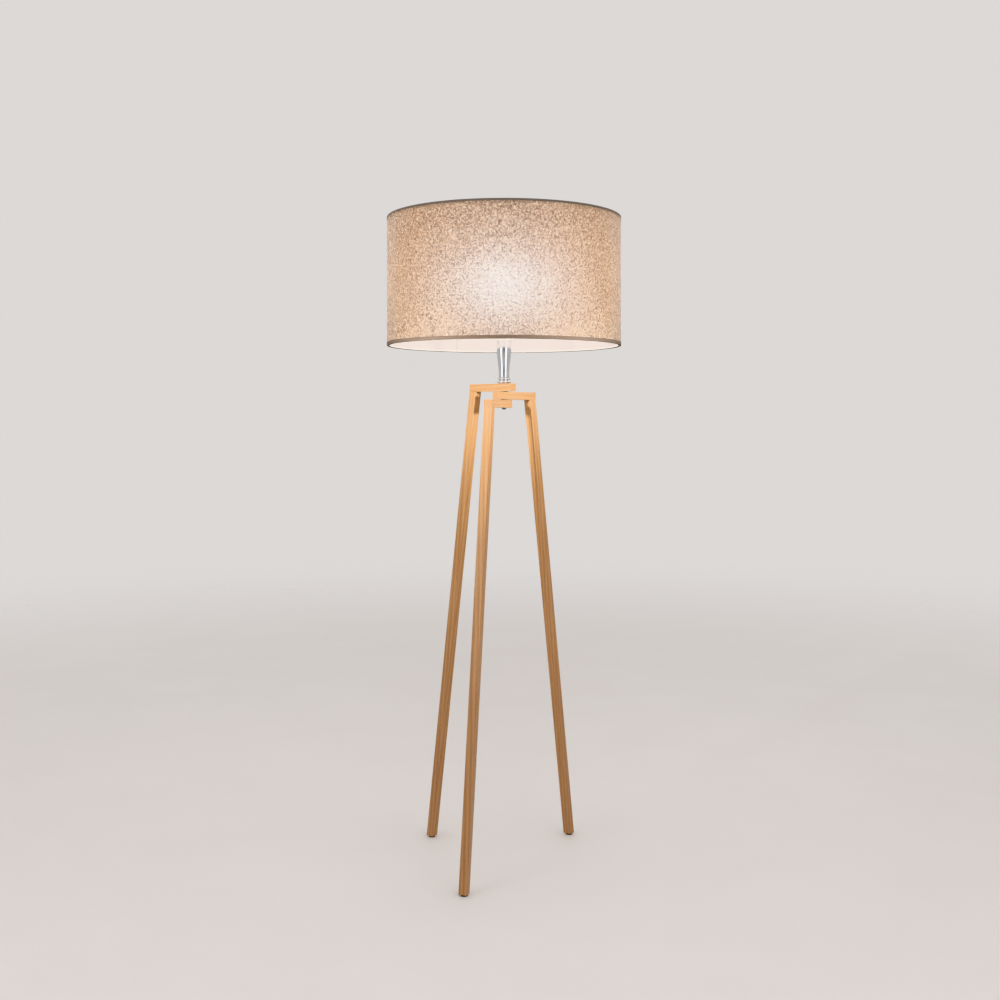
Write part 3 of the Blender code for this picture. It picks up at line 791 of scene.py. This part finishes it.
def skirt():
    """The threaded skirt, with the flange that the fitter's hub rests on."""
    low, high, out = bottom("holder_skirt"), top("holder_skirt"), reach("holder_skirt")
    shelf = bottom("spider_hub") - GAP
    thread_foot = shelf + SKIRT_THREAD_RISE
    plain = SKIRT_OUTSIDE - SKIRT_RELIEF
    flange = [(plain, shelf), (out, shelf), (out, shelf - SKIRT_FLANGE), (plain, shelf - SKIRT_FLANGE)]
    profile = [(SKIRT_INSIDE, high), (SKIRT_OUTSIDE - 0.0006, high)]
    profile += down_line(SKIRT_OUTSIDE, high - 0.0005, thread_foot, SKIRT_ROWS)
    profile += [(plain, thread_foot - 0.0004), (plain, shelf)]
    profile += rounded(flange, 0.0008, False)
    profile += [(plain, low), (SKIRT_INSIDE, low)]
    cut = thread(SKIRT_OUTSIDE, thread_foot, high + SKIRT_PITCH, SKIRT_PITCH, SKIRT_THREAD_DEPTH)
    shape = turned(profile, 96, True, cut)
    piece("threaded_skirt", shape, WHITE_PLASTIC, "head", ["holder_skirt"], 50.0)


def core():
    low, high, out = bottom("holder_insert"), top("holder_insert"), reach("holder_insert")
    step = low + (high - low) * CORE_STEP
    outline = [(0.0, high), (CORE_SPIGOT, high), (CORE_SPIGOT, step), (out, step), (out, low), (0.0, low)]
    shape = turned(rounded(outline, CORE_EDGE, False), 96, False)
    piece("ceramic_core", shape, CERAMIC, "head", ["holder_insert"])


def shell():
    """The brass shell, pressed to the shape of the bulb's thread inside and out."""
    low, high = bottom("screw_shell"), top("screw_shell")

    def formed(r, z, angle):
        fade = held(min(z - low, high - z) / SHELL_FADE)
        return r - SHELL_FORM * fade * groove(z, angle, EDISON_PITCH), z

    profile = down_line(SHELL_OUTSIDE, high, low, SHELL_ROWS)
    profile += reversed(down_line(SHELL_INSIDE, high, low, SHELL_ROWS))
    piece("formed_shell", turned(profile, 96, True, formed), BRASS, "head", ["screw_shell"], 60.0)


def clamp_ring():
    low, high, out = bottom("shade_clamp_ring"), top("shade_clamp_ring"), reach("shade_clamp_ring")

    def ribbed(r, z, angle):
        if r < out - 0.0001 or not low + RING_PLAIN_BAND < z < high - RING_PLAIN_BAND:
            return r, z
        return r - RING_GROOVE * (0.5 - 0.5 * math.cos(RING_RIBS * angle)) ** 2, z

    profile = rounded([(out, high), (out, low), (RING_BORE, low), (RING_BORE, high)], RING_EDGE)
    cut = next(i for i in range(len(profile)) if profile[i][1] < low + 0.002)
    margin = RING_PLAIN_BAND + 0.0001
    profile[cut:cut] = down_line(out, high - margin, low + margin, 6)
    shape = turned(profile, 8 * RING_RIBS, True, ribbed)
    piece("ribbed_shade_ring", shape, WHITE_PLASTIC, "head", ["shade_clamp_ring"], 40.0)


def contact_tongue():
    """The sprung brass strip under the bulb's tip, bent up in one soft S."""
    low, high = corners("centre_contact")
    half = (high.y - low.y) / 2 - 0.0001
    rise = high.z - TONGUE_THICKNESS
    foot_end, slope = 0.30, 0.42
    tip_start, tip_length, tip_width = 0.85, 0.17, 0.1
    points, faces = [], []
    for i in range(TONGUE_STEPS + 1):
        share = i / TONGUE_STEPS
        x = low.x + (high.x - low.x) * share
        z = low.z + (rise - low.z) * eased(held((share - foot_end) / slope))
        narrow = half * math.sqrt(max(1 - max((share - tip_start) / tip_length, 0.0) ** 2, tip_width))
        for y, up in ((-narrow, 0.0), (narrow, 0.0), (narrow, TONGUE_THICKNESS), (-narrow, TONGUE_THICKNESS)):
            points.append((x, y, z + up))
    for i in range(TONGUE_STEPS):
        for k in range(4):
            m = (k + 1) % 4
            faces.append((4 * i + k, 4 * i + 4 + k, 4 * i + 4 + m, 4 * i + m))
    last = 4 * TONGUE_STEPS
    faces += [(0, 1, 2, 3), (last + 3, last + 2, last + 1, last)]
    piece("contact_tongue", (points, faces), BRASS, "head", ["centre_contact"])


dome()
skirt()
core()
shell()
clamp_ring()
contact_tongue()


# ---------------------------------------------------------------- bulb

TIP_FLAT = 0.003
TIP_EDGE = 0.0006
INSULATOR_TIP = 0.0065
INSULATOR_EDGE = 0.0008
CAP_ROWS = 72
CAP_THREAD_DEPTH = 0.0008
CAP_PLAIN_BAND = 0.0018
NECK_SLIM = 0.0135
NECK_EDGE = 0.0012
NECK_ROWS = 32
BALL_ROWS = 40
BULB_POWER = 1.85


def bulb_cap():
    low, high, out = bottom("bulb_contact"), top("bulb_contact"), radius("bulb_contact")
    outline = [(0.0, high), (out, high), (out, (low + high) / 2), (TIP_FLAT, low), (0.0, low)]
    shape = turned(rounded(outline, TIP_EDGE, False), 48, False)
    piece("tip_button", shape, ZINC, "bulb_tip", ["bulb_contact"])

    low, high, out = bottom("bulb_insulator"), top("bulb_insulator"), radius("bulb_insulator")
    outline = [(0.0, high), (out, high), (INSULATOR_TIP, low), (0.0, low)]
    shape = turned(rounded(outline, INSULATOR_EDGE, False), 64, False)
    piece("black_insulator", shape, BLACK_PLASTIC, "bulb", ["bulb_insulator"])

    low, high, out = bottom("bulb_screw_cap"), top("bulb_screw_cap"), radius("bulb_screw_cap")
    profile = [(0.0, high), (out - 0.0006, high)]
    profile += down_line(out, high - 0.0003, low + 0.0008, CAP_ROWS)
    profile += [(out - 0.0010, low + 0.0002), (out - 0.0016, low), (0.0, low)]
    screw = thread(out, low - EDISON_PITCH, high - CAP_PLAIN_BAND, EDISON_PITCH, CAP_THREAD_DEPTH)
    shape = turned(profile, 96, False, screw)
    piece("screw_cap", shape, NICKEL, "bulb", ["bulb_screw_cap"], 60.0)


def bulb_glass():
    """The opal envelope, and the light in the middle of its ball."""
    low, high, ball = bottom("bulb_neck"), top("bulb_globe"), radius("bulb_globe")
    centre = high - ball
    joint = bottom("bulb_globe")
    belt = radius("bulb_neck")
    start = math.asin((joint - centre) / ball)
    profile = []
    for i in range(BALL_ROWS + 1):
        angle = math.pi / 2 + (start - math.pi / 2) * i / BALL_ROWS
        profile.append((ball * math.cos(angle) if i else 0.0, centre + ball * math.sin(angle)))
    for i in range(1, NECK_ROWS + 1):
        share = 1 - i / NECK_ROWS
        profile.append((NECK_SLIM + (belt - NECK_SLIM) * eased(share), low + (joint - low) * share))
    profile += [(NECK_SLIM - NECK_EDGE, low), (0.0, low)]
    glass = turned(profile, 80, False)
    piece("opal_envelope", glass, OPAL, "bulb", ["bulb_neck", "bulb_globe"])
    light = bpy.data.lights.new("bulb_light", "POINT")
    light.energy = BULB_POWER
    light.color = LAMP_COLOUR
    light.shadow_soft_size = ball - 0.002
    light.cycles.use_multiple_importance_sampling = False
    obj = bpy.data.objects.new("bulb_light", light)
    obj.location = (0.0, 0.0, centre)
    obj.visible_camera = False
    obj.visible_glossy = False
    bpy.context.scene.collection.objects.link(obj)


bulb_cap()
bulb_glass()


# ---------------------------------------------------------------- shade

SEAM_ANGLE = math.pi / 2
OVERLAP = 0.010
STEP_UP = 0.006

CLOTH_THICKNESS = 0.0008
CLOTH_LAP = CLOTH_THICKNESS + 0.0001
CLOTH_SLUBS = 0.00035
FILM_THICKNESS = 0.0005
FILM_JOINT = 0.0006

TAPE_WALL = 0.0005
TAPE_EDGE = 0.0009
HEM_WIDTH = 0.0080
TOP_WIDTH = 0.0050
SEAM_BULGE = 0.0009
TAPE_RIPPLE = 0.00020

HUB_BORE = 0.0198
HUB_EDGE = 0.0006
WIRE_RADIUS = 0.0016
WIRE_FAR = 0.27055
WIRE_BEND = 0.009
WELD_SWELL = 0.0007
WELD_START = 0.9


def seam_share(arc_length):
    """How far the cloth has climbed over its own start, where it overlaps: 0 before the seam, 1 on it."""
    return eased(held(arc_length / STEP_UP))


def wrapped(outer, thick, low, high, columns, rows, overlap, climb, relief):
    """One skin of the drum, closed all round: a strip bent round the axis, its end lapped over its start."""
    around = TURN * outer + overlap
    slub_size, slub_height, edge_rows = 48, 170, 3
    angles, lifts = [], []
    for i in range(columns + 1):
        run = around * i / columns
        angles.append(SEAM_ANGLE + run / outer)
        lifts.append(climb * seam_share(run - (around - overlap - STEP_UP)))
    points, faces = [], []
    for angle, lift in zip(angles, lifts):
        for j in range(rows + 1):
            z = low + (high - low) * j / rows
            fade = min(j, rows - j, edge_rows) / edge_rows
            place = Vector((math.cos(angle) * slub_size, math.sin(angle) * slub_size, z * slub_height))
            r = outer + lift + fade * relief * noise.noise(place)
            points.append((r * math.cos(angle), r * math.sin(angle), z))
    inner = len(points)
    for angle, lift in zip(angles, lifts):
        r = outer - thick + lift
        for z in (low, high):
            points.append((r * math.cos(angle), r * math.sin(angle), z))
    for i in range(columns):
        here, there = i * (rows + 1), (i + 1) * (rows + 1)
        in_here, in_there = inner + 2 * i, inner + 2 * i + 2
        for j in range(rows):
            faces.append((here + j, there + j, there + j + 1, here + j + 1))
        faces.append((in_there, in_here, in_here + 1, in_there + 1))
        faces.append((here, in_here, in_there, there))
        faces.append((here + rows, there + rows, in_there + 1, in_here + 1))
    end = range(columns * (rows + 1), (columns + 1) * (rows + 1))
    faces.append((inner, *range(rows + 1), inner + 1))
    faces.append((inner + 2 * columns + 1, *reversed(end), inner + 2 * columns))
    return points, faces


def on_seam(angle, r):
    """The seam's step where a tape crosses it."""
    run = (angle - SEAM_ANGLE) * r
    return max(0.0, 1 - max(abs(run - OVERLAP / 2) - OVERLAP / 2, 0.0) / STEP_UP)


def hoop(node, name):
    foot, head, out = bottom(node), top(node), reach(node)
    r = (head - foot) / 2
    angles = [-TURN * k / 16 for k in range(16)]
    outline = [(out - r + r * math.cos(angle), foot + r + r * math.sin(angle)) for angle in angles]
    return piece(name, turned(outline, 256), ENAMEL, "shade", [node])


def edge_tape(node, hoop_node, name, material, width, up):
    """A tape round one edge: a short skirt outside the cloth, and a lip under or over the hoop."""
    edge = bottom(node) if up > 0 else top(node)
    out = reach(node)
    lip = reach(hoop_node) - (top(hoop_node) - bottom(hoop_node))
    outline = [
        (out, edge + up * width),
        (out, edge + up * width / 2),
        (out, edge),
        (lip, edge),
        (lip, edge + up * TAPE_WALL),
        (out - TAPE_WALL, edge + up * TAPE_WALL),
        (out - TAPE_WALL, edge + up * width / 2),
        (out - TAPE_WALL, edge + up * width),
    ]
    outline = rounded(outline, TAPE_EDGE)
    if up < 0:
        outline.reverse()

    def waved(r, z, angle):
        if r < out - 0.001:
            return r, z
        ripple = noise.noise(Vector((math.cos(angle) * 30, math.sin(angle) * 30, 1.0 + z * 60)))
        return r + SEAM_BULGE * on_seam(angle, r) + TAPE_RIPPLE * ripple, z

    return piece(name, turned(outline, 512, True, waved), material, "shade", [node], 60.0)


def shade():
    low, high, out = bottom("shade_fabric"), top("shade_fabric"), reach("shade_fabric")
    shape = wrapped(out, CLOTH_THICKNESS, low, high, 640, 110, OVERLAP, CLOTH_LAP, CLOTH_SLUBS)
    cloth = piece("boucle_cover", shape, BOUCLE, "shade", ["shade_fabric"], 60.0)

    low, high, film = bottom("shade_lining"), top("shade_lining"), reach("shade_lining")
    shape = wrapped(film, FILM_THICKNESS, low, high, 480, 24, -FILM_JOINT, 0.0, 0.0)
    backing = piece("lining_film", shape, LINING, "shade", ["shade_lining"], 60.0)

    hoops = [hoop("bottom_hoop", "bottom_wire_hoop"), hoop("top_hoop", "top_wire_hoop")]
    tapes = [
        edge_tape("bottom_trim", "bottom_hoop", "bottom_tape", HEM_TAPE, HEM_WIDTH, 1),
        edge_tape("top_trim", "top_hoop", "top_tape", TOP_TAPE, TOP_WIDTH, -1),
    ]


def fitter():
    """The hub and three wires that carry the drum, welded to its lower hoop."""
    low, high, out = bottom("spider_hub"), top("spider_hub"), reach("spider_hub")
    outline = rounded([(out, high), (out, low), (HUB_BORE, low), (HUB_BORE, high)], HUB_EDGE)
    piece("fitter_hub", turned(outline, 128), ENAMEL, "shade", ["spider_hub"])
    for number in (1, 2, 3):
        node = f"spider_wire_{number}"
        low, high = corners(node)
        centre = middle(node)
        angle = math.atan2(centre.y, centre.x)
        level = high.z - WIRE_RADIUS
        corner = level - WIRE_BEND
        foot = low.z + 0.0018
        route = [(out + GAP + WIRE_RADIUS, level), (0.20, level)]
        for k in range(11):
            a = math.pi / 2 * (1 - k / 10)
            route.append((WIRE_FAR - WIRE_BEND + WIRE_BEND * math.cos(a), corner + WIRE_BEND * math.sin(a)))
        route += down_line(WIRE_FAR, corner, foot, 8)[1:]
        path = [(away * math.cos(angle), away * math.sin(angle), z) for away, z in route]
        shape = tube(path, weld_swelling, 20)
        piece(f"fitter_wire_{number}", shape, ENAMEL, "shade", [node])


def weld_swelling(share):
    """A wire's radius along its length: a little stouter where it is welded to the hoop."""
    return WIRE_RADIUS + WELD_SWELL * max(share - WELD_START, 0.0) / (1 - WELD_START)


shade()
fitter()


# ---------------------------------------------------------------- floor, light and camera

FLOOR_SIZE = 10.0
FLOOR_LIGHT = (0.79, 0.755, 0.74)
FLOOR_DARK = (0.775, 0.74, 0.725)
FLOOR_FADE = (1.8, 6.5)

ROOM_TINT = (1.0, 0.975, 0.955, 1.0)
ROOM_BELOW = 0.56
ROOM_ABOVE = 0.95
DARK_END = 0.15
BACKDROP = (0.76, 0.735, 0.72, 1.0)

SOFTBOX_COLOUR = (1.0, 0.985, 0.97)
SOFTBOX_HEIGHT = 1.6
SOFTBOX_POWER = 9.0
SOFTBOX_AIM = (0.0, 0.0, 1.1)

BEAM_COLOUR = (0.93, 1.0, 0.97)
BEAM_SOURCES = (("left", (-1.2, -1.65, 1.35)), ("right", (1.3, -1.65, 1.35)))
BEAMS = ((9.0, 1.09, 330.0), (16.0, 1.00, 88.0), (34.0, 0.90, 50.0))
BEAM_SOFTNESS = 0.1

BOUNCE_SIZE = 0.36
BOUNCE_HEIGHT = 0.3
BOUNCE_POWER = 1.1

CAMERA_PLACE = (0.0, -2.864, 1.033)
CAMERA_LENS = 43.74
CAMERA_SENSOR = 36.0
CAMERA_SHIFT = (-0.0040, -0.0794)


def floor():
    """A pale floor that fades into the backdrop's colour far from the lamp."""
    made = Shader("pale_floor")
    mottle = made.noise(made.place, 3.0, 4.0)
    tone = made.blend(made.fit(mottle, 0.3, 0.7), FLOOR_LIGHT, FLOOR_DARK)
    surface = made.principled(tone, made.fit(mottle, 0.3, 0.7, 0.5, 0.62), Specular_IOR_Level=0.25)
    away = made.node("VectorMath", {0: made.place}, operation="LENGTH").outputs["Value"]
    clear = made.node("BsdfTransparent").outputs[0]
    near, far = FLOOR_FADE
    fade = made.node("MapRange", {0: away, 1: near, 2: far}, interpolation_type="SMOOTHERSTEP").outputs[0]
    material = made.finish(made.mix(fade, surface, clear))
    mesh = bpy.data.meshes.new("studio_floor")
    signs = ((-1, -1), (1, -1), (1, 1), (-1, 1))
    mesh.from_pydata([(FLOOR_SIZE * x, FLOOR_SIZE * y, 0.0) for x, y in signs], [], [(0, 1, 2, 3)])
    mesh.materials.append(material)
    obj = bpy.data.objects.new("studio_floor", mesh)
    bpy.context.scene.collection.objects.link(obj)


def world():
    """A plain backdrop for the eye, and light from a bright room with a darker end for the reflections."""
    made = bpy.data.worlds.new("studio")
    bpy.context.scene.world = made
    made.use_nodes = True
    tree = made.node_tree
    tree.nodes.clear()

    def node(kind, inputs=(), **settings):
        new = tree.nodes.new(f"ShaderNode{kind}")
        for name, value in settings.items():
            setattr(new, name, value)
        for key, value in dict(inputs).items():
            if isinstance(value, bpy.types.NodeSocket):
                tree.links.new(value, new.inputs[key])
            else:
                new.inputs[key].default_value = value
        return new.outputs

    split = node("SeparateXYZ", {0: node("TexCoord")["Generated"]})
    height = node("MapRange", {0: split["Z"], 1: -0.1, 2: 1.0, 3: ROOM_BELOW, 4: ROOM_ABOVE})
    dark_range = {0: split["Y"], 1: -1.0, 2: -0.975, 3: DARK_END, 4: 1.0}
    dark = node("MapRange", dark_range, interpolation_type="SMOOTHSTEP")
    product = node("Math", {0: height[0], 1: dark[0]}, operation="MULTIPLY")
    room = node("Background", {"Color": ROOM_TINT, "Strength": product[0]})
    plain = node("Background", {"Color": BACKDROP})
    seen = node("LightPath")["Is Camera Ray"]
    both = node("MixShader", {0: seen, 1: room[0], 2: plain[0]})
    node("OutputWorld", {"Surface": both[0]})


def aimed(name, light, place, target):
    obj = bpy.data.objects.new(name, light)
    obj.location = place
    obj.rotation_euler = (Vector(target) - Vector(place)).to_track_quat("-Z", "Y").to_euler()
    obj.visible_camera = False
    bpy.context.scene.collection.objects.link(obj)
    return obj


def softbox(name, place, width):
    light = bpy.data.lights.new(name, "AREA")
    light.shape = "RECTANGLE"
    light.size = width
    light.size_y = SOFTBOX_HEIGHT
    light.energy = SOFTBOX_POWER
    light.color = SOFTBOX_COLOUR
    aimed(name, light, place, SOFTBOX_AIM)


def head_lights():
    """Soft beams on the tripod's head from both sides, as the lamp's own light falls on it and dies away down
    the legs."""
    for side, place in BEAM_SOURCES:
        for spread, height, power in BEAMS:
            light = bpy.data.lights.new(f"{side}_beam_{spread:.0f}", "SPOT")
            light.spot_size = math.radians(spread)
            light.spot_blend = 1.0
            light.shadow_soft_size = BEAM_SOFTNESS
            light.energy = power
            light.color = BEAM_COLOUR
            aimed(light.name, light, place, (0.0, 0.0, height)).visible_glossy = False


def ceiling_bounce():
    """What comes back down from above into the open shade."""
    light = bpy.data.lights.new("ceiling_bounce", "AREA")
    light.shape = "DISK"
    light.size = BOUNCE_SIZE
    light.energy = BOUNCE_POWER
    light.color = LAMP_COLOUR
    light.cycles.use_multiple_importance_sampling = False
    place = (0.0, 0.0, top("shade_fabric") + BOUNCE_HEIGHT)
    aimed("ceiling_bounce", light, place, (0.0, 0.001, 1.0)).visible_glossy = False


def camera():
    data = bpy.data.cameras.new("camera")
    data.sensor_width = CAMERA_SENSOR
    data.lens = CAMERA_LENS
    data.shift_x, data.shift_y = CAMERA_SHIFT
    obj = bpy.data.objects.new("camera", data)
    obj.location = CAMERA_PLACE
    obj.rotation_euler = (math.pi / 2, 0.0, 0.0)
    bpy.context.scene.collection.objects.link(obj)
    bpy.context.scene.camera = obj


floor()
world()
softbox("left_softbox", (-1.84, -1.84, 1.3), 0.8)
softbox("right_softbox", (1.50, -2.10, 1.3), 1.0)
head_lights()
ceiling_bounce()
camera()
bpy.context.scene.view_settings.view_transform = "Khronos PBR Neutral"
